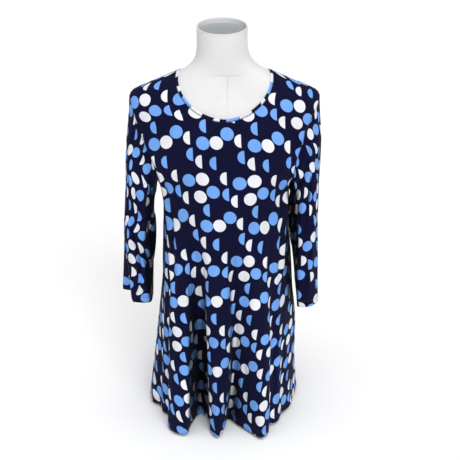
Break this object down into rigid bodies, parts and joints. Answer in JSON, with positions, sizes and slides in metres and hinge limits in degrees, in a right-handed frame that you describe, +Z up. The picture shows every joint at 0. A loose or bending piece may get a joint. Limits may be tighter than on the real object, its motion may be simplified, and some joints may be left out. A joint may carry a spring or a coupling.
{
  "type": "tunic top on dress form",
  "caption": "Scoop-neck A-line jersey tunic with three-quarter sleeves and a fluted hem, worn on a limbless dress form.",
  "frame": {"origin": "on the floor under the middle of the dress form, at its flat base", "axes": "+Z up, -Y out of the garment's front, +X to the wearer's left"},
  "size_m": [0.4914, 0.376, 0.9695],
  "materials": {
    "jersey": "soft matte",
    "form_cover": "matte",
    "cap": "matte"
  },
  "bodies": {
    "root": {"tunic_front": "jersey", "tunic_back": "jersey", "sleeve_right": "jersey", "sleeve_left": "jersey", "neck_binding": "jersey", "form_torso": "form_cover", "neck_cap": "cap"}
  },
  "joints": []
}
